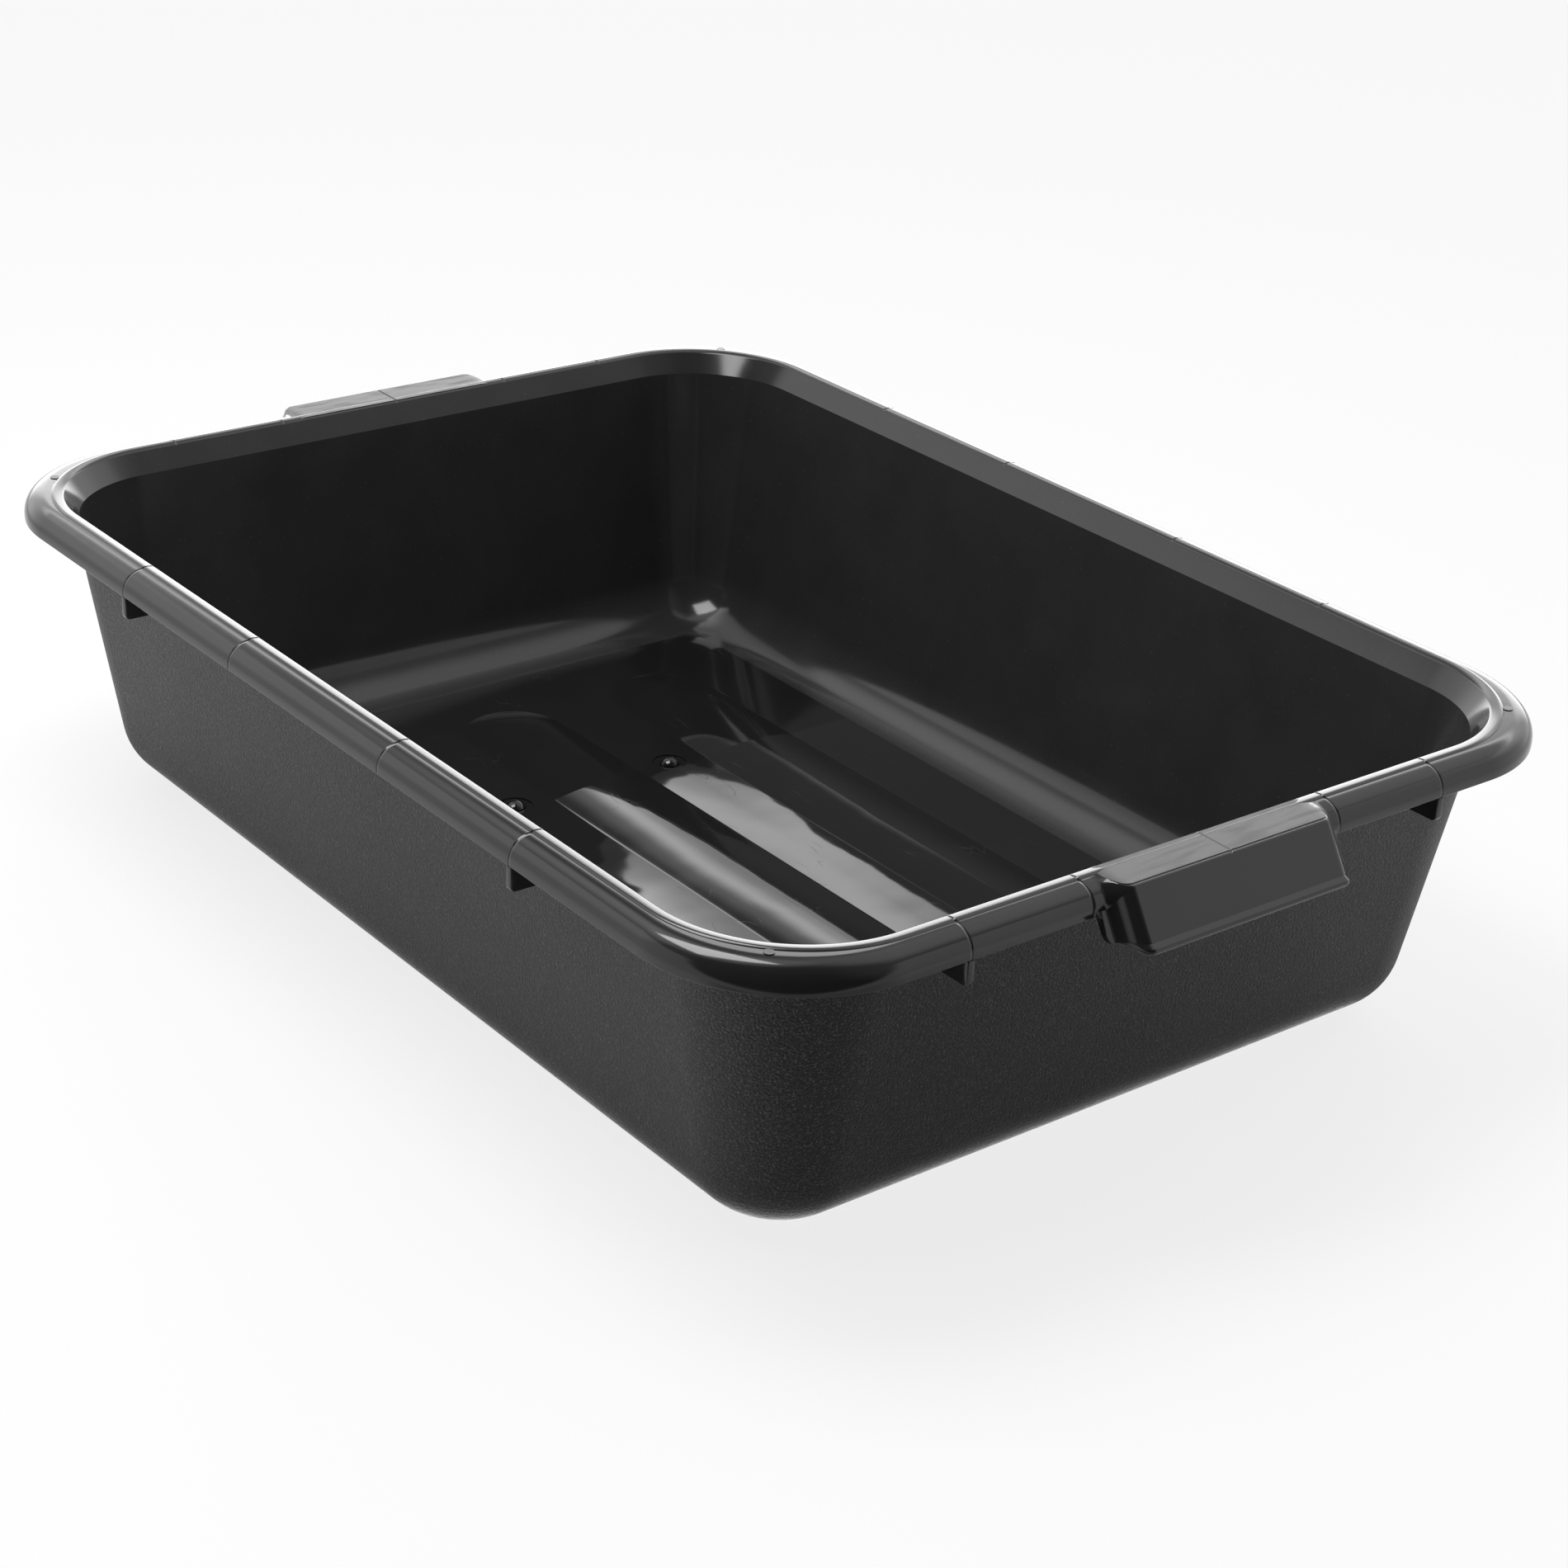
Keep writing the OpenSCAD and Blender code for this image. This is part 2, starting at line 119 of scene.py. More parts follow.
class Pen:
    """Draws a section in the upright plane through a corner axis, then carries it along."""

    def __init__(self, name, corner, out):
        self.corner = Vector(corner)
        self.out = Vector(out)
        bpy.ops.object.select_all(action="DESELECT")
        bpy.ops.mesh.primitive_plane_add(size=SPECK)
        self.piece = bpy.context.object
        self.piece.name = self.piece.data.name = name
        bpy.ops.object.mode_set(mode="EDIT")
        bpy.ops.mesh.select_mode(type="VERT")
        bpy.ops.mesh.merge(type="CENTER")

    def spot(self, u, z):
        return self.corner + self.out * u + Vector((0, 0, z))

    def start(self, u, z):
        self.first = self.at = self.spot(u, z)
        bpy.ops.transform.translate(value=self.at)

    def line(self, u, z):
        step = self.spot(u, z) - self.at
        bpy.ops.mesh.extrude_region_move(TRANSFORM_OT_translate={"value": step})
        self.at = self.at + step

    def arc(self, u, z, degrees, steps):
        axis = self.out.cross(Vector((0, 0, 1)))
        centre = self.spot(u, z)
        angle = math.radians(degrees)
        bpy.ops.mesh.spin(steps=steps, angle=-angle, center=centre, axis=axis)
        self.at = centre + Matrix.Rotation(angle, 3, axis) @ (self.at - centre)

    def close(self):
        bpy.ops.mesh.extrude_region_move(TRANSFORM_OT_translate={"value": self.first - self.at})
        bpy.ops.mesh.select_all(action="SELECT")
        bpy.ops.mesh.remove_doubles(threshold=MERGE)

    def draw(self, points):
        self.start(*points[0])
        for point in points[1:]:
            self.line(*point)
        self.close()

    def walk(self, x, y):
        bpy.ops.mesh.extrude_region_move(TRANSFORM_OT_translate={"value": (x, y, 0)})

    def turn(self, x, y, steps):
        bpy.ops.mesh.spin(steps=steps, angle=-math.pi / 2, center=(x, y, 0), axis=(0, 0, 1))

    def finish(self):
        bpy.ops.mesh.select_all(action="SELECT")
        bpy.ops.mesh.remove_doubles(threshold=MERGE)
        bpy.ops.mesh.select_all(action="SELECT")
        bpy.ops.mesh.normals_make_consistent(inside=False)
        bpy.ops.object.mode_set(mode="OBJECT")
        bpy.ops.object.shade_smooth_by_angle(angle=SMOOTH)
        print(self.piece.name, "has", len(self.piece.data.polygons), "faces")
        return self.piece


# %% [markdown]
# ## The walls
# The four walls and four corners are one skin, 3 mm thick, which leans out by ten degrees
# so that the tub leaves its mould.
# A large radius joins it to the floor on both faces.
# The CAD walls are cut into eight nodes, and their shading breaks at each joint,
# so one closed band is carried all the way round.

# %% Draw the wall's section
ARC_STEPS = 14
cove_arc = 90 - math.degrees(draft)
cove_top = cove_r - cove_r * math.sin(draft)
cove_top_u = cove_u + cove_r * math.cos(draft)

wall = Pen("tub_wall_band", (0, -axis_y, 0), (0, -1, 0))
wall.start(cove_u, floor_t)
wall.arc(cove_u, cove_r, cove_arc, ARC_STEPS)
wall.line(wall_top_u - wall_u, lip_z)
wall.line(wall_top_u, lip_z)
wall.line(cove_top_u, cove_top)
wall.arc(cove_u, cove_r, -cove_arc, ARC_STEPS)
wall.close()
print("the outer round ends", round(cove_top / MM, 1), "mm above the table")

# %% Carry it round
CORNER_STEPS = 28
ALONG_X = (1, 0)
ALONG_Y = (0, 1)
SIDES = (
    (ALONG_X, 0, axis_x), (ALONG_Y, -axis_y, axis_y), (ALONG_X, axis_x, -axis_x),
    (ALONG_Y, axis_y, -axis_y), (ALONG_X, -axis_x, 0))
TURNS = ((axis_x, -axis_y), (axis_x, axis_y), (-axis_x, axis_y), (-axis_x, -axis_y), None)

for (way, begin, end), corner in zip(SIDES, TURNS):
    wall.walk(*(Vector(way) * (end - begin)))
    if corner:
        wall.turn(*corner, CORNER_STEPS)
wall_band = wall.finish()

# %% [markdown]
# ## Seams across the rim
# Inserts in the mould leave fine grooves across the rim, at the same places on opposite sides.
# A groove is three rings close together, with the middle one drawn in towards a point inside the section.
# A holding ring on each side of the groove keeps its soft shading from running out along the rim.
# The helper walks a side to each groove, sinks the ring and brings it out again.

# %% A walk that cuts seams
seam_w = 1.1 * MM
seam_d = 0.36 * MM
seam_hold = 0.4 * MM
long_outer = axis_x - 64 * MM
long_inner = long_outer - 82 * MM
end_outer = axis_y - 19 * MM
end_inner = 57 * MM
LONG_SEAMS = (-long_outer, -long_inner, long_inner, long_outer)
END_SEAMS = (-end_outer, -end_inner, 0, end_inner, end_outer)


def walk_with_seams(pen, way, begin, end, still_u, still_z, size):
    """Walks from begin to end along X or Y, sinking a ring at every seam on the way."""
    sign = 1 if end > begin else -1
    ahead = Vector(way) * sign
    across = Vector((way[1], -way[0], 0)) * sign
    corner = across * (axis_y if way == ALONG_X else axis_x)
    seams = LONG_SEAMS if way == ALONG_X else END_SEAMS
    sink = 1 - seam_d / size
    here = begin
    for seam in sorted(seams, reverse=sign < 0):
        if not min(begin, end) < seam < max(begin, end):
            continue
        edge = seam - sign * seam_w / 2
        pen.walk(*(Vector(way) * (edge - sign * seam_hold - here)))
        pen.walk(*(ahead * seam_hold))
        for scale in (sink, 1 / sink):
            pen.walk(*(ahead * seam_w / 2))
            edge = edge + sign * seam_w / 2
            spot = Vector(way).to_3d() * edge + corner + across * still_u + Vector((0, 0, still_z))
            bpy.ops.transform.resize(value=(scale, scale, scale), center_override=spot)
        pen.walk(*(ahead * seam_hold))
        here = edge + sign * seam_hold
    pen.walk(*(Vector(way) * (end - here)))


print("seams along the long sides, mm:", [round(seam / MM) for seam in LONG_SEAMS])

# %% [markdown]
# ## The crest of the rim
# The wall turns out into a sloping lip and ends in a narrow rounded crest, the brightest line on the tub.
# Its top is a shallow crown that leans a little inward and so mirrors the bright background as a white line,
# and its outer side falls in a tight round to a fine crease.
# Lip, crown and fall are three arcs that touch each other, so their centres follow one from the other.

# %% Work out the crest
lip_out = 6.5 * MM
crest_w = 4.1 * MM
rim_t = 2.6 * MM
crest_step = 0.6 * MM
crown_r = 16 * MM
inner_r = 1.6 * MM
crease_r = 2 * MM
crease_depth = 0.05 * MM
crown_from = math.radians(103)
crown_to = math.radians(93)

lip_h = crest_z - lip_z
lip_lean = math.atan2(lip_out, lip_h)
lip_foot = wall_top_u - wall_u
crest_end = lip_foot + lip_out + crest_w
shoulder_top = crest_z - crest_step
plate_z = shoulder_top - rim_t
fall_z = crest_z - crease_r
crown_z = fall_z - (crown_r - crease_r) * math.sin(crown_to)
inner_z = crown_z + (crown_r - inner_r) * math.sin(crown_from)
inner_u = lip_foot + ((inner_z - lip_z) * math.sin(lip_lean) + inner_r) / math.cos(lip_lean)
crown_u = inner_u - (crown_r - inner_r) * math.cos(crown_from)
fall_u = crown_u + (crown_r - crease_r) * math.cos(crown_to)
crease_angle = math.asin((shoulder_top - crease_depth - fall_z) / crease_r)
crease_u = fall_u + crease_r * math.cos(crease_angle)
print("crest is highest at u", round(fall_u / MM, 2), "and its crease is at u", round(crease_u / MM, 2), "mm")

# %% [markdown]
# The section starts at the foot of the lip and comes back to it underneath.
# The seam rings shrink towards that foot, so the lip's slope stays as it is.

# %% Draw the crest and carry it round
crest = Pen("rim_crest_band", (0, -axis_y, 0), (0, -1, 0))
crest.start(lip_foot, lip_z)
crest.line(inner_u - inner_r * math.cos(lip_lean), inner_z + inner_r * math.sin(lip_lean))
crest.arc(inner_u, inner_z, -math.degrees(math.pi - lip_lean - crown_from), ARC_STEPS)
crest.arc(crown_u, crown_z, -math.degrees(crown_from - crown_to), ARC_STEPS)
crest.arc(fall_u, fall_z, -math.degrees(crown_to - crease_angle), ARC_STEPS)
crest.line(crease_u, plate_z)
crest.line(wall_top_u + (plate_z - lip_z) * math.tan(lip_lean), plate_z)
crest.line(wall_top_u, lip_z)
crest.close()

lip_still = (lip_foot, lip_z, lip_h)
for (way, begin, end), corner in zip(SIDES, TURNS):
    walk_with_seams(crest, way, begin, end, *lip_still)
    if corner:
        crest.turn(*corner, CORNER_STEPS)
crest_band = crest.finish()

# %% [markdown]
# ## The rolled rim and the grips
# Outside the crest the rim rolls over in a quarter round and hangs down in a short skirt.
# In the middle of each end the skirt swings out in an S and becomes a hollow grip,
# with a sloping front and a bead along its foot.
# Both sections are listed with the same number of points, from the crest outward, round the edge
# and back underneath, so that a bridge can flow from one to the other.

# %% The rim's section
def arc_points(u, z, radius, begin, end, steps):
    angles = [math.radians(begin + (end - begin) * step / steps) for step in range(steps + 1)]
    return [(u + radius * math.cos(angle), z + radius * math.sin(angle)) for angle in angles]


EDGE_STEPS = 6
shoulder_r = 8.3 * MM
shoulder_tilt = 5
edge_r = 0.45 * MM
corner_flare = 3 * MM
tuck_in = 0.5 * MM
crease_lap = 0.2 * MM
skirt_hold = 0.3 * MM
tilt = math.radians(shoulder_tilt)
shoulder_u = skirt_u - shoulder_r
shoulder_run = shoulder_u + shoulder_r * math.sin(tilt) - crease_u
shoulder_z = shoulder_top - shoulder_run * math.tan(tilt) - shoulder_r * math.cos(tilt)
skirt_mid = (shoulder_z + skirt_z) / 2
skirt_edge = skirt_z + edge_r
tuck_u = crest_end - corner_flare - tuck_in

rim_section = [(tuck_u, shoulder_top), (crease_u - crease_lap, shoulder_top)]
rim_section += arc_points(shoulder_u, shoulder_z, shoulder_r, 90 - shoulder_tilt, 0, ARC_STEPS - 1)
rim_section += [(skirt_u, skirt_mid + skirt_hold), (skirt_u, skirt_mid)]
rim_section += arc_points(skirt_u - edge_r, skirt_edge, edge_r, 0, -90, EDGE_STEPS)
rim_section += arc_points(skirt_u - rim_t + edge_r, skirt_edge, edge_r, -90, -180, EDGE_STEPS)
rim_section += arc_points(shoulder_u, shoulder_z, shoulder_r - rim_t, 0, 90, ARC_STEPS)
rim_section += [(tuck_u, plate_z)]
print("points in the rim's section", len(rim_section))

# %% [markdown]
# The crease under the crest runs on along the grip as a fine step between its top and its front.
# The front slopes out to a bead, and the inside follows it at the grip's thickness.

# %% The grip's section
slope = 32
lean = math.tan(math.radians(slope))
skew = 1 / math.cos(math.radians(slope))
grip_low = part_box("grip_right")[0].z
grip_out = 13 * MM
grip_front = crest_end + grip_out
grip_t = 3 * MM
brow_r = 1.1 * MM
brow_step = 0.35 * MM
step_from = 0.75 * MM
step_to = 0.6 * MM
top_skin = 0.02 * MM
bead_h = 3.6 * MM
bead_t = 1.1 * MM
bead_r = 1.5 * MM


def front(z, out=0):
    """Where the grip's sloping front is at a height, or a face beside it."""
    return grip_front + (crest_z - z) * lean + out * skew


grip_top = crest_z - top_skin
brow_z = crest_z - brow_step - brow_r
brow_u = front(brow_z, -brow_r)
bead_z = grip_low + bead_h
bead_u = front(bead_z)
bead = arc_points(front(grip_low + bead_r, bead_t - bead_r), grip_low + bead_r, bead_r, 45, -90, EDGE_STEPS)
foot_z = grip_low + edge_r
under_z = crest_z - grip_t - edge_r

grip_section = [(tuck_u, grip_top), (brow_u - step_from, grip_top), (brow_u - step_to, crest_z - brow_step)]
grip_section += arc_points(brow_u, brow_z, brow_r, 90, slope, ARC_STEPS - 2)
grip_section += [(bead_u, bead_z), ((bead_u + bead[0][0]) / 2, (bead_z + bead[0][1]) / 2)]
grip_section += bead
grip_section += arc_points(front(foot_z, edge_r - grip_t), foot_z, edge_r, -90, slope - 180, EDGE_STEPS)
grip_section += arc_points(front(under_z, -grip_t - edge_r), under_z, edge_r, slope, 90, ARC_STEPS)
grip_section += [(tuck_u, crest_z - grip_t)]
print("points in the grip's section", len(grip_section))

# %% [markdown]
# A third section stands between them: the rim with its skirt let down along the slope of the grip's front,
# because the skirt drops before it swings out.

# %% The let-down section
drop_gap = 2 * MM
drop = skirt_z - grip_low - drop_gap
deep_section = []
for u, z in rim_section:
    below = z < shoulder_z - MERGE
    deep_section.append((u + (shoulder_z - z + drop) * lean, z - drop) if below else (u, z))
print("the skirt is let down by", round(drop / MM, 1), "mm")

# %% [markdown]
# Round the corners the rim turns about an axis farther out than the walls do,
# which makes the corners look fuller.
# The near half of the rim, the straight part of one grip and a short piece of the let-down skirt
# are carried along first, with their ends left open.

# %% Carry the three sections along
rim_start = 56 * MM
drop_end = 53.2 * MM
drop_start = 52.9 * MM
grip_straight = 44 * MM
grip_reach = 22 * MM
shift = corner_flare / (math.sqrt(2) - 1)
far_x = axis_x + shift
far_y = axis_y + shift
roll_still = (shoulder_u, shoulder_z, 2 * shoulder_r)
grip_still = (front(grip_low), grip_low, grip_reach)

shoulder = Pen("rolled_rim", (-axis_x, -rim_start, 0), (-1, 0, 0))
shoulder.draw(rim_section)
walk_with_seams(shoulder, ALONG_Y, -rim_start, -far_y, *roll_still)
shoulder.turn(-far_x, -far_y, CORNER_STEPS)
walk_with_seams(shoulder, ALONG_X, -far_x, far_x, *roll_still)
shoulder.turn(far_x, -far_y, CORNER_STEPS)
walk_with_seams(shoulder, ALONG_Y, -far_y, -rim_start, *roll_still)
rim_half = shoulder.finish()

handle = Pen("grip_middle", (axis_x, -grip_straight, 0), (1, 0, 0))
handle.draw(grip_section)
walk_with_seams(handle, ALONG_Y, -grip_straight, grip_straight, *grip_still)
grip_half = handle.finish()

skirt = Pen("deep_skirt", (axis_x, -drop_end, 0), (1, 0, 0))
skirt.draw(deep_section)
skirt.walk(0, drop_end - drop_start)
deep_part = skirt.finish()

# %% Mirror them and join them into one mesh
ACROSS = (1, -1, 1)
ALONG = (-1, 1, 1)


def pick(piece):
    """Selects one piece alone and makes it the active one."""
    bpy.ops.object.select_all(action="DESELECT")
    piece.select_set(True)
    bpy.context.view_layer.objects.active = piece


for piece, flip in ((rim_half, ACROSS), (grip_half, ALONG), (deep_part, ALONG), (deep_part, ACROSS)):
    pick(piece)
    bpy.ops.object.mode_set(mode="EDIT")
    bpy.ops.mesh.select_all(action="SELECT")
    bpy.ops.mesh.duplicate()
    bpy.ops.transform.resize(value=flip, center_override=(0, 0, 0))
    bpy.ops.object.mode_set(mode="OBJECT")
pick(rim_half)
grip_half.select_set(True)
deep_part.select_set(True)
bpy.ops.object.join()
rolled = bpy.context.object
print("loose parts of the rim have", len(rolled.data.vertices), "vertices")

# %% [markdown]
# At each of the four gaps one short bridge lets the skirt down and one longer bridge swings it out,
# and both follow the faces on either side.
# Each point of the rim's section then swings out to its partner in the grip's section along its own S,
# which is how the mould was cut.

# %% Bridge the rim to the grips
BRIDGES = ((rim_start, drop_end, 10, 1.0), (drop_start, grip_straight, 30, 1.05))


def choose(mesh, test):
    """Selects the vertices that pass a test, and nothing else."""
    for part in (mesh.edges, mesh.polygons):
        part.foreach_set("select", [False] * len(part))
    mesh.vertices.foreach_set("select", [test(vertex.co) for vertex in mesh.vertices])


for end, side in ((-1, -1), (-1, 1), (1, -1), (1, 1)):
    for outer, inner, cuts, fullness in BRIDGES:
        choose(rolled.data, lambda co: co.x * end > axis_x and min(
            abs(co.y * side - outer), abs(co.y * side - inner)) < MERGE)
        bpy.ops.object.mode_set(mode="EDIT")
        bpy.ops.mesh.select_mode(type="VERT")
        bpy.ops.mesh.bridge_edge_loops(number_cuts=cuts, interpolation="SURFACE", smoothness=fullness)
        bpy.ops.object.mode_set(mode="OBJECT")
bpy.ops.object.mode_set(mode="EDIT")
bpy.ops.mesh.select_all(action="SELECT")
bpy.ops.mesh.normals_make_consistent(inside=False)
bpy.ops.object.mode_set(mode="OBJECT")
bpy.ops.object.shade_smooth_by_angle(angle=SMOOTH)
weighted = rolled.modifiers.new("flat_faces", "WEIGHTED_NORMAL")
weighted.keep_sharp = True
bpy.ops.object.modifier_apply(modifier=weighted.name)
print("bridged rim has", len(rolled.data.polygons), "faces")

# %% [markdown]
# The grips are parts of their own in the library, so they are taken off the finished loop again.
# Their shading was settled while they were still joined, and stays.
# Each part is then a tube with open ends, and its ends are filled so that it is a closed body of its own.

# %% Part the loop into two shoulders and two grips
def cap(piece):
    """Fills the open ends of a piece; the sharp edges keep the shading beside them as it is."""
    pick(piece)
    bpy.ops.object.mode_set(mode="EDIT")
    bpy.ops.mesh.select_mode(type="EDGE")
    bpy.ops.mesh.select_all(action="DESELECT")
    bpy.ops.mesh.select_non_manifold(extend=False, use_wire=False, use_multi_face=False, use_verts=False)
    bpy.ops.mesh.mark_sharp()
    bpy.ops.mesh.fill_holes(sides=0)
    bpy.ops.object.mode_set(mode="OBJECT")


for name, end in (("rolled_grip_left", -1), ("rolled_grip_right", 1)):
    choose(rolled.data, lambda co: co.x * end > axis_x and abs(co.y) < rim_start + MERGE)
    bpy.ops.object.mode_set(mode="EDIT")
    bpy.ops.mesh.separate(type="SELECTED")
    bpy.ops.object.mode_set(mode="OBJECT")
    for piece in bpy.context.selected_objects:
        if piece != rolled:
            piece.name = piece.data.name = name
            piece.select_set(False)
bpy.ops.object.mode_set(mode="EDIT")
bpy.ops.mesh.select_all(action="SELECT")
bpy.ops.mesh.separate(type="LOOSE")
bpy.ops.object.mode_set(mode="OBJECT")
for piece in bpy.data.objects:
    if piece.name.startswith("rolled_rim"):
        side = "near" if piece.data.vertices[0].co.y < 0 else "far"
        piece.name = piece.data.name = "rim_shoulder_" + side
for name in ("rim_shoulder_near", "rim_shoulder_far", "rolled_grip_left", "rolled_grip_right"):
    cap(bpy.data.objects[name])

# %% [markdown]
# ## The floor ribs
# Three long low ribs with round ends stiffen the floor.
# The outline is drawn with the pen's two tools, filled, and then inset and raised ring by ring,
# first up a small fillet at the foot and then over the shallow crown.

# %% List the rib's rings
FOOT_STEPS = 4
CROWN_STEPS = 16
rib_fillet = 0.8 * MM
rib_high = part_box("floor_rib_middle")[1]
rib_half = rib_high.y
rib_x = rib_high.x - rib_half
rib_rise = rib_high.z - floor_t
foot_u = rib_half + rib_fillet
foot_top_u = rib_half - rib_fillet
foot_w = foot_u - foot_top_u
rings = []
for step in range(FOOT_STEPS):
    inward = foot_w * step / FOOT_STEPS
    rings.append((foot_u - inward, floor_t + rib_rise / rib_half * inward ** 2 / foot_w))
for step in range(CROWN_STEPS):
    u = foot_top_u * (1 - step / CROWN_STEPS)
    rings.append((u, floor_t + rib_rise * (1 - (u / rib_half) ** 2)))
print("rings of a rib:", len(rings))

# %% Draw one rib and raise it
RIB_END_STEPS = 32
RIB_SMOOTH = math.radians(40)
bpy.ops.object.select_all(action="DESELECT")
bpy.ops.mesh.primitive_plane_add(size=SPECK)
rib = bpy.context.object
rib.name = rib.data.name = "moulded_rib_middle"
bpy.ops.object.mode_set(mode="EDIT")
bpy.ops.mesh.select_mode(type="VERT")
bpy.ops.mesh.merge(type="CENTER")
bpy.ops.transform.translate(value=(-rib_x, -foot_u, floor_t))
for side in (1, -1):
    bpy.ops.mesh.extrude_region_move(TRANSFORM_OT_translate={"value": (side * 2 * rib_x, 0, 0)})
    bpy.ops.mesh.spin(steps=RIB_END_STEPS, angle=-math.pi, center=(side * rib_x, 0, floor_t), axis=(0, 0, 1))
bpy.ops.mesh.select_all(action="SELECT")
bpy.ops.mesh.remove_doubles(threshold=MERGE)
bpy.ops.mesh.select_all(action="SELECT")
bpy.ops.mesh.edge_face_add()
bpy.ops.mesh.select_mode(type="FACE")
for (u, z), (next_u, next_z) in zip(rings, rings[1:]):
    bpy.ops.mesh.inset(thickness=u - next_u)
    bpy.ops.transform.translate(value=(0, 0, next_z - z))
bpy.ops.mesh.select_all(action="SELECT")
bpy.ops.mesh.normals_make_consistent(inside=False)
bpy.ops.object.mode_set(mode="OBJECT")
cap(rib)
bpy.ops.object.shade_smooth_by_angle(angle=RIB_SMOOTH)
crown_top = max(vertex.co.z for vertex in rib.data.vertices)
print("rib faces", len(rib.data.polygons), "crown at", round(crown_top / MM, 2), "mm")

# %% Copy the rib to the near and far rows
rib_pitch = (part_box("floor_rib_far")[0].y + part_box("floor_rib_far")[1].y) / 2
ribs = {"floor_rib_middle": rib}
for row, node in ((-1, "floor_rib_near"), (1, "floor_rib_far")):
    pick(rib)
    bpy.ops.object.duplicate(linked=False)
    ribs[node] = bpy.context.object
    ribs[node].name = ribs[node].data.name = node.replace("floor", "moulded")
    bpy.ops.object.mode_set(mode="EDIT")
    bpy.ops.mesh.select_all(action="SELECT")
    bpy.ops.transform.translate(value=(0, row * rib_pitch, 0))
    bpy.ops.object.mode_set(mode="OBJECT")
print("ribs at Y", [round(row * rib_pitch / MM, 1) for row in (-1, 0, 1)], "mm")

# %% [markdown]
# ## Softened edges on the lugs
# A moulded part has no knife edges: each one is rounded by a fraction of a millimetre
# and shows as a thin bright line.
# The stacking lugs keep their exact CAD shape, so a merged copy of each mesh is taken
# and only its edges are bevelled.

# %% Copy the lugs with rounded edges
LUG_EDGE = math.radians(38)
LUG_FLAT = math.radians(0.5)
softened = {}
for node in ("stacking_lugs_long", "stacking_lugs_end"):
    piece = bpy.data.objects.new("soft_" + node, frame["nodes"][node].data.copy())
    bpy.context.collection.objects.link(piece)
    pick(piece)
    bpy.ops.object.mode_set(mode="EDIT")
    bpy.ops.mesh.select_all(action="SELECT")
    bpy.ops.mesh.remove_doubles(threshold=MERGE)
    bpy.ops.mesh.dissolve_limited(angle_limit=LUG_FLAT)
    bpy.ops.mesh.select_all(action="SELECT")
    bpy.ops.mesh.normals_make_consistent(inside=False)
    bpy.ops.object.mode_set(mode="OBJECT")
    bevel = piece.modifiers.new("edges", "BEVEL")
    bevel.width = 0.4 * MM
    bevel.segments = 3
    bevel.limit_method = "ANGLE"
    bevel.angle_limit = LUG_EDGE
    bevel.use_clamp_overlap = True
    bpy.ops.object.modifier_apply(modifier=bevel.name)
    bpy.ops.object.shade_smooth_by_angle(angle=LUG_EDGE)
    softened[node] = piece
    print(piece.name, "has", len(piece.data.polygons), "faces")

# %% [markdown]
# ## Shader sums in plain Python
# A node tree is a formula, and it reads best as one.
# The wrapper below lets the outputs of nodes be added and multiplied like numbers,
# and one method makes any other node.

# %% A socket that can be reckoned with
class Value:
    """An output of a shader node that takes part in Python arithmetic."""

    def __init__(self, shader, output):
        self.shader = shader
        self.output = output

    def _math(self, operation, *terms):
        return self.shader.node("ShaderNodeMath", {"operation": operation}, dict(enumerate(terms)))

    def __add__(self, other):
        return self._math("ADD", self, other)

    def __sub__(self, other):
        return self._math("SUBTRACT", self, other)

    def __rsub__(self, other):
        return self._math("SUBTRACT", other, self)

    def __mul__(self, other):
        return self._math("MULTIPLY", self, other)

    def __truediv__(self, other):
        return self._math("DIVIDE", self, other)

    def __pow__(self, other):
        return self._math("POWER", self, other)

    def __abs__(self):
        return self._math("ABSOLUTE", self)

    __radd__ = __add__
    __rmul__ = __mul__


class Shader:
    """A node tree that is written as expressions."""

    def __init__(self, tree):
        self.tree = tree
        tree.nodes.clear()

    def node(self, kind, settings, inputs, output=0):
        made = self.tree.nodes.new(kind)
        for name, value in settings.items():
            setattr(made, name, value)
        for name, value in inputs.items():
            if isinstance(value, Value):
                self.tree.links.new(value.output, made.inputs[name])
            else:
                made.inputs[name].default_value = value
        return Value(self, made.outputs[output])

    def show(self, surface, kind):
        self.tree.links.new(surface.output, self.tree.nodes.new(kind).inputs["Surface"])

    def place(self):
        return self.node("ShaderNodeTexCoord", {}, {}, "Object")

    def part(self, vector, axis):
        return self.node("ShaderNodeSeparateXYZ", {}, {"Vector": vector}, axis)

    def ray(self, kind):
        return self.node("ShaderNodeLightPath", {}, {}, kind)

    def stretched(self, vector, scale):
        return self.node("ShaderNodeMapping", {"vector_type": "POINT"}, {"Vector": vector, "Scale": scale})

    def noise(self, vector, scale, detail=2):
        return self.node("ShaderNodeTexNoise", {}, {"Vector": vector, "Scale": scale, "Detail": detail})

    def clamp(self, value, low, high):
        return self.node("ShaderNodeClamp", {}, {"Value": value, "Min": low, "Max": high})

    def fade(self, value, low, high, to_low=0, to_high=1):
        spans = {"Value": value, "From Min": low, "From Max": high, "To Min": to_low, "To Max": to_high}
        return self.node("ShaderNodeMapRange", {"interpolation_type": "SMOOTHSTEP"}, spans)

    def bump(self, height):
        return self.node("ShaderNodeBump", {}, {"Height": height, "Strength": 1, "Distance": 1}, "Normal")

    def mix(self, share, first, second):
        return self.node("ShaderNodeMixShader", {}, {0: share, 1: first, 2: second})


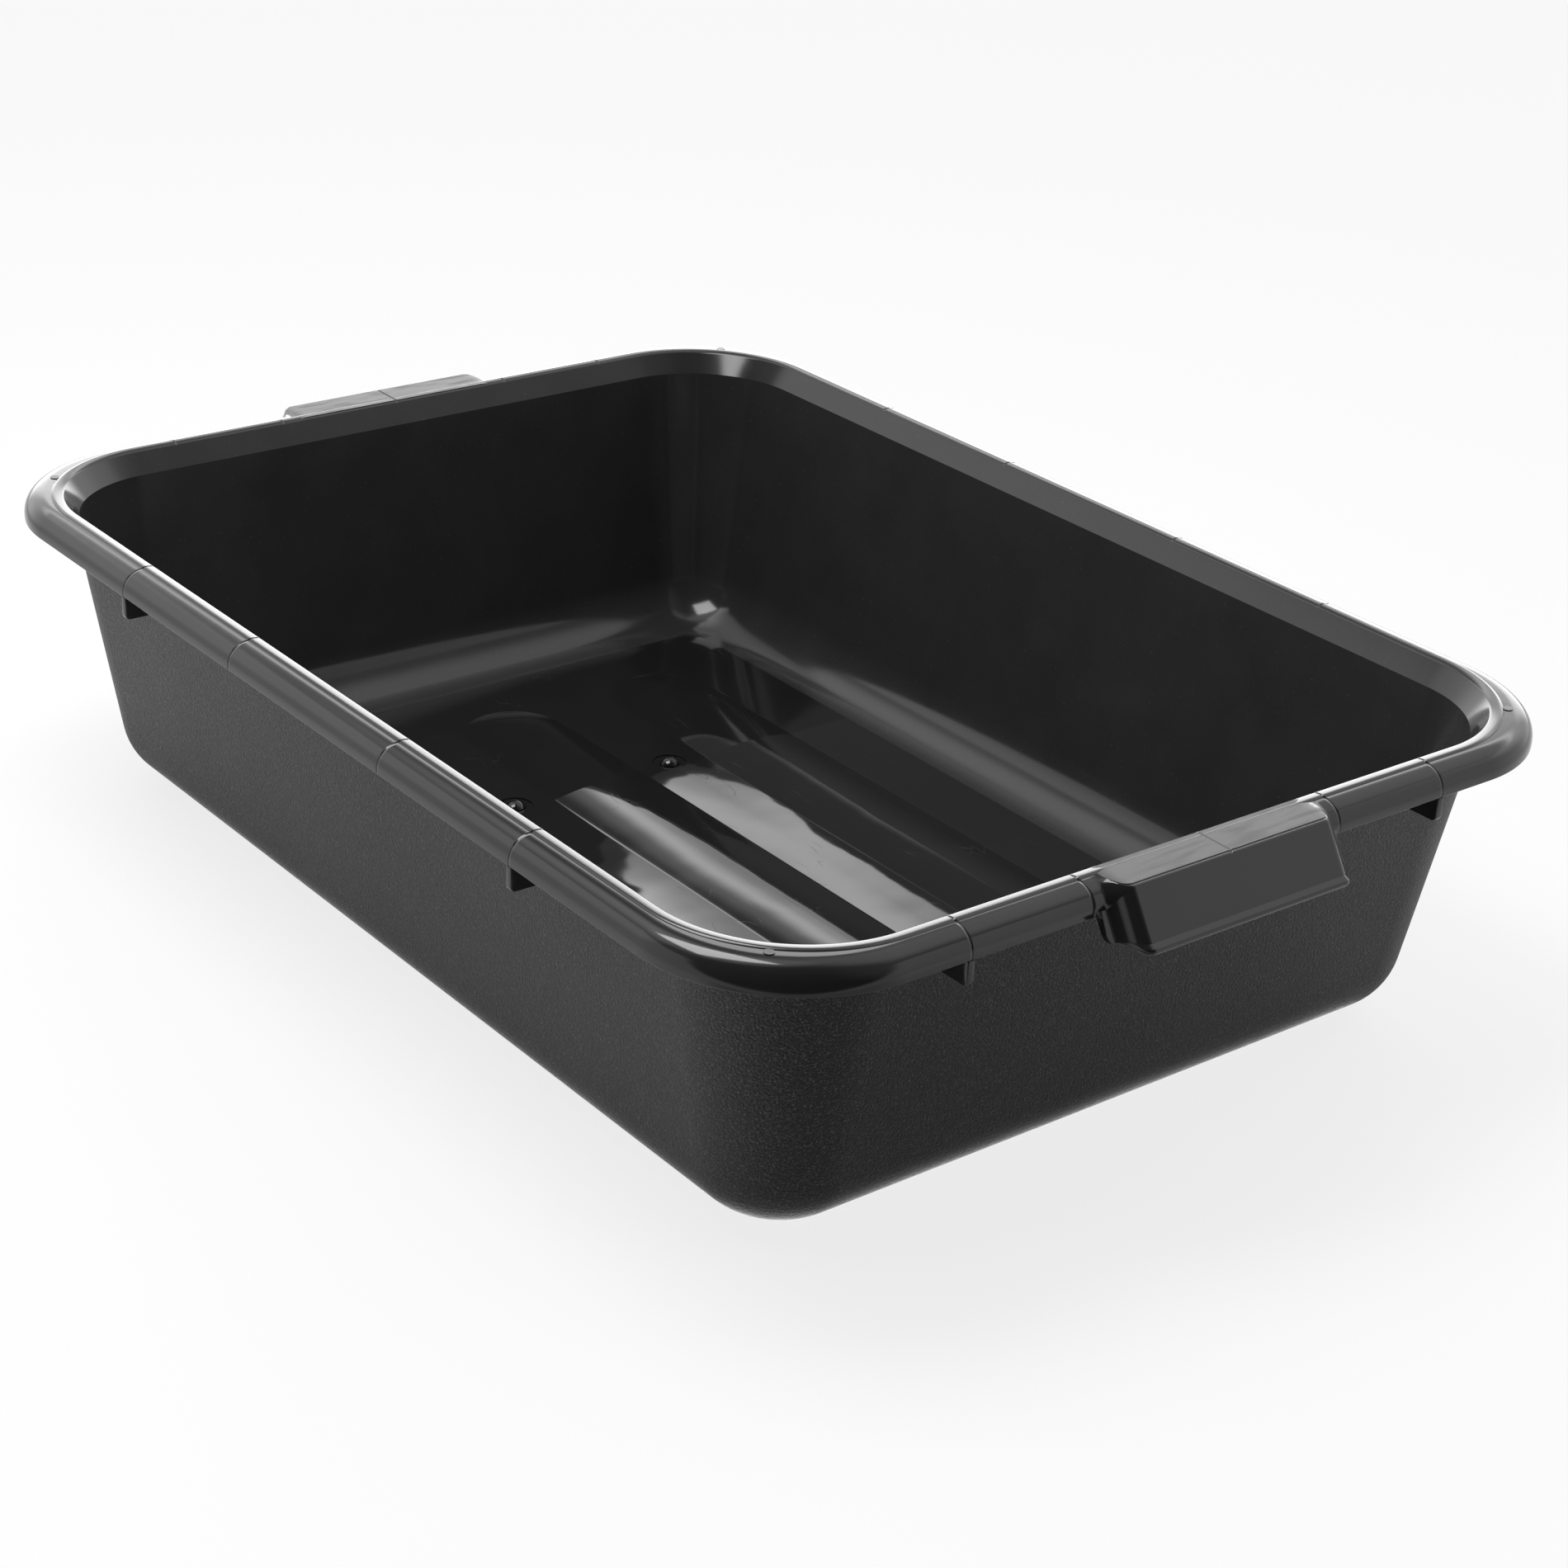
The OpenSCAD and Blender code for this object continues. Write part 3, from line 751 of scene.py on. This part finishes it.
def plastic(name, mix):
    """Makes a plastic whose colour, roughness and normal come from the function given."""
    material = bpy.data.materials.new(name)
    material.use_nodes = True
    shader = Shader(material.node_tree)
    colour, roughness, normal = mix(shader)
    inputs = {"Base Color": colour, "Roughness": roughness, "Normal": normal, "IOR": 1.5}
    surface = shader.node("ShaderNodeBsdfPrincipled", {}, inputs)
    shader.show(surface, "ShaderNodeOutputMaterial")
    print("finish", name, "uses", len(shader.tree.nodes), "nodes")
    return material


# %% [markdown]
# ## Stippled outside
# The outer walls are spark eroded in the mould: a fine matt grain, less than a millimetre across.
# Two sizes of noise make the grain as a bump in true metres, and its tips are painted a little paler, as
# painted glints of light on the grain.

# %% The stippled finish
def stipple(shader):
    place = shader.place()
    grain = shader.noise(place, 1400, 1)
    coarse = shader.noise(place, 1000, 2)
    cloud = shader.noise(place, 14, 3)
    height = grain * (0.24 * MM) + coarse * (0.60 * MM)
    # Painted glints: the highest tips of the grain are painted paler, standing in for the light they catch.
    painted_glint = shader.fade(grain, 0.54, 0.68)
    colour = 0.003 + 0.004 * cloud + 0.060 * painted_glint
    roughness = 0.40 + 0.12 * cloud + 0.08 * coarse
    return colour, roughness, shader.bump(height)


stippled = plastic("stippled_black", stipple)

# %% [markdown]
# ## Glossy inside
# The inside of the mould is polished, so the inner walls are almost mirrors.
# Long shallow waves from the cooling plastic make the reflections swim.

# %% The glossy finish
def gloss(shader):
    place = shader.place()
    wave = shader.noise(place, 22, 1)
    haze = shader.noise(place, 40, 4)
    speck = shader.fade(shader.noise(place, 900, 1), 0.70, 0.78)
    height = wave * (0.16 * MM)
    colour = 0.025 + 0.012 * haze + 0.02 * speck
    roughness = 0.09 + 0.08 * haze
    return colour, roughness, shader.bump(height)


glossy = plastic("gloss_black", gloss)

# %% [markdown]
# ## The worn floor
# The floor has the same gloss, but it has warped into a shallow dish as it cooled, and use has scratched it.
# The dish is known from the reflections in the photo, which clear the far rim only where
# the floor leans towards the camera.
# It is too shallow to see as shape, so it is written into the normal: a hollow that runs on straight
# past a given distance, sooner on the flat floor than on the ribs.
# Hair scratches are the contour lines of a stretched noise, broken up by a second one.

# %% The floor's finish
dish_y = 11 * MM
dish_r = 0.623
dish_near = -0.1
left_r = 2.4
left_end = -0.09


def worn_gloss(shader, straight_from):
    place = shader.place()
    across = shader.part(place, "Y") - dish_y
    leftward = shader.clamp(shader.part(place, "X"), left_end, 0)
    bent = shader.clamp(across, dish_near, straight_from)
    warp = (across - bent / 2) * bent / dish_r + leftward * leftward / (2 * left_r)
    wave = shader.noise(place, 40, 1)
    haze = shader.noise(place, 30, 4)
    lines = shader.noise(shader.stretched(place, (26, 90, 40)), 1.0, 2)
    broken = shader.fade(shader.noise(place, 34, 2), 0.56, 0.68)
    hair = shader.fade(abs(lines - 0.5), 0.0022, 0.0008) * broken
    height = warp + wave * (0.07 * MM) - hair * (0.02 * MM)
    colour = 0.010 + 0.004 * haze + 0.03 * hair
    roughness = 0.02 + 0.025 * haze + 0.2 * hair
    return colour, roughness, shader.bump(height)


worn_floor = plastic("worn_gloss_black", lambda shader: worn_gloss(shader, 29 * MM))
worn_rib = plastic("worn_rib_black", lambda shader: worn_gloss(shader, 74 * MM))

# %% [markdown]
# ## The satin rim
# The rim's round edges are polished like the inside, but hands and other tubs have rubbed
# the flat tops of the grips to a soft satin.
# The height of a point tells the tops apart, and a stretched noise leaves the streaks of the rubbing.
# The tops' paler colour is partly that rubbing and partly a painted sheen, standing in for the light they
# catch.

# %% The rim's finish
def satin(shader):
    place = shader.place()
    wave = shader.noise(place, 60, 2)
    haze = shader.noise(place, 24, 4)
    grain = shader.noise(place, 1500, 2)
    rub = shader.fade(shader.noise(shader.stretched(place, (320, 60, 60)), 1.0, 3), 0.45, 0.70)
    worn_and_sheen_top = shader.fade(shader.part(place, "Z"), crest_z - 0.5 * MM, crest_z - 0.2 * MM)
    height = wave * (0.03 * MM) + grain * (0.004 * MM)
    # Partly rubbing and partly painted sheen: the tops are painted paler where they catch the light.
    colour = 0.016 + 0.010 * haze + worn_and_sheen_top * (0.022 + 0.030 * rub)
    roughness = 0.07 + 0.06 * haze + worn_and_sheen_top * (0.33 + 0.16 * rub)
    return colour, roughness, shader.bump(height)


satin_black = plastic("satin_black", satin)

# %% [markdown]
# ## Dressing the pieces
# Every new piece rides on the tub's one body and takes the place of the CAD nodes that it was drawn from.
# The wall band carries two finishes: its outer faces, which look down a little, are stippled,
# and the others are glossy.

# %% Put the finishes on
LOOKS_DOWN = -0.01


def dress(piece, slot, nodes, *finishes):
    piece.data.materials.clear()
    for finish in finishes:
        piece.data.materials.append(finish)
    if nodes:
        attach(piece, "root")
        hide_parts(*nodes)


walls = ["long_wall_near", "long_wall_far", "end_wall_left", "end_wall_right"]
walls += ["corner_wall_" + side + "_" + end for side in ("near", "far") for end in ("left", "right")]
dress(wall_band, "stippled_wall", walls, glossy, stippled)
for face in wall_band.data.polygons:
    face.material_index = 1 if face.normal.z < LOOKS_DOWN else 0
dress(crest_band, "satin_rim", ["rim_end_left", "rim_end_right"], glossy)
for side in ("near", "far"):
    nodes = ["rim_" + part.format(side) for part in ("long_{}", "corner_{}_left", "corner_{}_right")]
    dress(bpy.data.objects["rim_shoulder_" + side], "satin_rim", nodes, satin_black)
for end in ("left", "right"):
    dress(bpy.data.objects["rolled_grip_" + end], "satin_rim", ["grip_" + end], satin_black)
for node, piece in ribs.items():
    dress(piece, "gloss_floor", [node], worn_rib)
for node, piece in softened.items():
    dress(piece, "satin_rim", [node], satin_black)
for node in ("floor_panel", "gate_domes"):
    dress(frame["nodes"][node], None, None, worn_floor)
for node in ("gussets_long", "gussets_end"):
    dress(frame["nodes"][node], None, None, stippled)
dress(frame["nodes"]["rim_corner_marks"], None, None, satin_black)
outside = sum(face.material_index for face in wall_band.data.polygons)
print("wall faces outside", outside, "of", len(wall_band.data.polygons))

# %% [markdown]
# ## Camera
# The camera was found from the tub's own corners in the photo.
# It stands a little over a metre away, looks down by 26 degrees and leans by three.

# %% Place the camera
camera_spot = Vector((0.910667, -0.712797, 0.596572))
look = Vector((-0.69984, 0.56875, -0.43209))
camera_lean = math.radians(3.02)
turned = look.to_track_quat("-Z", "Y").to_matrix() @ Matrix.Rotation(camera_lean, 3, "Z")
bpy.ops.object.camera_add(location=camera_spot, rotation=turned.to_euler())
camera = bpy.context.object
camera.name = "photo_camera"
camera.data.sensor_width = 36
camera.data.lens = 73.7
bpy.context.scene.camera = camera
print("camera is", round(camera_spot.length, 3), "m from the origin")

# %% [markdown]
# ## Floor
# The tub stands on a pale table in a white studio.
# The table stops short of the camera, because the black reflections in the near corner
# show a dark room on that side.

# %% Lay the floor
FLOOR_EDGE = 0.50
FLOOR_SIZE = 3.0
FLOOR_GAP = 0.3 * MM
toward = Vector((camera_spot.x, camera_spot.y, 0)).normalized()
bpy.ops.object.select_all(action="DESELECT")
bpy.ops.mesh.primitive_plane_add(size=FLOOR_SIZE)
floor = bpy.context.object
floor.name = floor.data.name = "studio_floor"
turn = Matrix.Rotation(math.atan2(toward.y, toward.x), 4, "Z")
slide = Matrix.Translation((FLOOR_EDGE - FLOOR_SIZE / 2, 0, -FLOOR_GAP))
floor.data.transform(turn @ slide)
print("floor ends", FLOOR_EDGE, "m from the tub towards the camera")

# %% [markdown]
# To the camera and to reflections the table is lifted to white, and everything else lights it plainly,
# so the shadow stays.
# Reflections find it dimmer at the right front, where the end wall of the tub mirrors it,
# and brighter in the narrow gap under the tub's round lower edge, where the table glows for reflections alone
# as a painted glow.
# That gap is what gives the lower edge its pale fringe in the photo.
# It is measured from the tub's foot, a rounded rectangle about the corner axes.

# %% Paint the table
WHITE = (1, 1, 1, 1)
PALE = (0.9, 0.9, 0.9, 1)
GREY = (0.35, 0.35, 0.35, 1)
SEEN_LIFT = 0.80
MIRROR_LIFT = 0.34
DIM_LIFT = 0.20
material = bpy.data.materials.new("white_table")
material.use_nodes = True
table = Shader(material.node_tree)
seen = table.ray("Is Camera Ray")
mirrored = table.ray("Is Glossy Ray")
right = table.part(table.place(), "X")
back = table.part(table.place(), "Y")


def past(distance, limit):
    """How far a distance from the middle goes past a limit, or nought."""
    over = abs(distance) - limit
    return (over + abs(over)) / 2


dim = table.fade(right, 0.20, 0.30) * table.fade(back, 0.20, -0.12)
plain = table.node("ShaderNodeBsdfDiffuse", {}, {"Color": PALE})
dimmed = table.node("ShaderNodeBsdfDiffuse", {}, {"Color": GREY})
glow = table.node("ShaderNodeEmission", {}, {"Color": WHITE, "Strength": 1})
lift = SEEN_LIFT * seen + (MIRROR_LIFT - DIM_LIFT * dim) * mirrored
top = table.mix(lift, table.mix(dim * mirrored, plain, dimmed), glow)
print("the table's paint uses", len(table.tree.nodes), "nodes")

# %% Light the gap under the tub
gap_from = 23 * MM
gap_full = 8 * MM
corner_area = 0.0006
corner_share = 0.3
gap_strength = 6
past_x = past(right, axis_x)
past_y = past(back, axis_y)
off_foot = (past_x ** 2 + past_y ** 2) ** 0.5 - cove_u
less_at_corners = table.fade(past_x * past_y, 0, corner_area, 1, corner_share)
gap = table.fade(off_foot, gap_from, gap_full) * less_at_corners * mirrored
# A painted glow: the table emits six times white in the gap, seen only in reflections, and so paints the pale
# fringe on the tub's lower edge.
fringe = table.node("ShaderNodeEmission", {}, {"Color": WHITE, "Strength": gap_strength})
table.show(table.mix(gap, top, fringe), "ShaderNodeOutputMaterial")
floor.data.materials.append(material)
print("with the gap the table uses", len(table.tree.nodes), "nodes")

# %% [markdown]
# ## Light
# The photo was taken in a white tent, and the black plastic mirrors it: every side of the tub away
# from the camera reflects white, and the side towards the camera reflects a dark room.
# The world is that tent, written as a sum over directions.
# A soft-edged dark cone stands behind the camera and the ceiling is dim.
# Beyond the far side a bright sweep gives the long reflections in the floor,
# and a brighter horizon below it draws the white line on the crest.

# %% The tent
world = bpy.data.worlds.new("white_tent")
bpy.context.scene.world = world
world.use_nodes = True
tent = Shader(world.node_tree)
direction = tent.node("ShaderNodeTexCoord", {}, {}, "Generated")


def aim(round_about, up):
    """The direction at an angle round the tub and an angle above the table, in degrees."""
    turned, raised = math.radians(round_about), math.radians(up)
    return Vector((math.cos(turned) * math.cos(raised), math.sin(turned) * math.cos(raised), math.sin(raised)))


def facing(target):
    """How closely the direction looked in points to a target: 1 at it, 0 square to it."""
    return tent.node("ShaderNodeVectorMath", {"operation": "DOT_PRODUCT"}, {0: direction, 1: target}, "Value")


dark_axis = aim(-34, 30)
room = tent.fade(facing(dark_axis), 0.46, 0.60, 1, 0.04)
height = facing((0, 0, 1))
walls_light = 0.80 - 0.16 * facing((1, 0, 0))
ceiling = tent.fade(height, 0.545, 0.595, 1, 0.2)
sweep = tent.fade(height, 0.55, 0.485) * tent.fade(height, 0.42, 0.52, 0.5, 2.9)
horizon = 3.4 * tent.fade(height, 0.41, 0.33)
far_side = facing(aim(141, 0))
beyond = sweep * tent.fade(far_side, 0.45, 0.75) + horizon * tent.fade(far_side, 0.80, 0.95)
tent_light = room * walls_light * ceiling + beyond
print("dark cone points to", [round(part, 2) for part in dark_axis])

# %% [markdown]
# Four soft glows fill in what the rim mirrors: a lit wall at the left and a patch high above it,
# a wall at the right and a brighter screen above that one.
# Each is a direction, the closeness at which it begins and is full, and its strength.

# %% Glows on the tent
GLOWS = {
    "left_wall": (aim(196, 28), 0.84, 0.94, 0.5),
    "left_patch": (aim(193, 65), 0.87, 0.95, 0.9),
    "right_wall": (aim(55, 30), 0.60, 0.95, 0.24),
    "right_screen": (aim(95, 48), 0.80, 0.97, 0.75),
}
for name, (target, begins, full, strength) in GLOWS.items():
    tent_light = tent_light + strength * tent.fade(facing(target), begins, full)
    print(name, "glows with", strength)
lit = tent.node("ShaderNodeBackground", {}, {"Color": WHITE, "Strength": tent_light})
white = tent.node("ShaderNodeBackground", {}, {"Color": WHITE, "Strength": 1})
tent.show(tent.mix(tent.ray("Is Camera Ray"), lit, white), "ShaderNodeOutputWorld")

# %% [markdown]
# ## Softbox
# The highlights in the photo give the lamp away: a crescent on the near corner and a spot in the far cove
# both point to one softbox above the tub.
# A softbox of a given radiance, in units of white, needs a power that grows with its area.

# %% Hang the softbox
lamp_spot = Vector((-0.15, -0.25, 0.95))
lamp_target = Vector((-0.05, 0, 0))
lamp_width = 0.45
lamp_depth = 0.5
lamp_radiance = 8
turned = (lamp_target - lamp_spot).to_track_quat("-Z", "Y")
bpy.ops.object.light_add(type="AREA", location=lamp_spot, rotation=turned.to_euler())
lamp = bpy.context.object
lamp.name = lamp.data.name = "top_softbox"
lamp.data.shape = "RECTANGLE"
lamp.data.size = lamp_width
lamp.data.size_y = lamp_depth
lamp.data.energy = lamp_radiance * math.pi * lamp_width * lamp_depth
lamp.visible_camera = False
print(lamp.name, "gives", round(lamp.data.energy, 1), "W")

# %% [markdown]
# ## Last look
# The plain view transform keeps the greys as they were mixed.

# %% Finish
bpy.context.scene.view_settings.view_transform = "Standard"
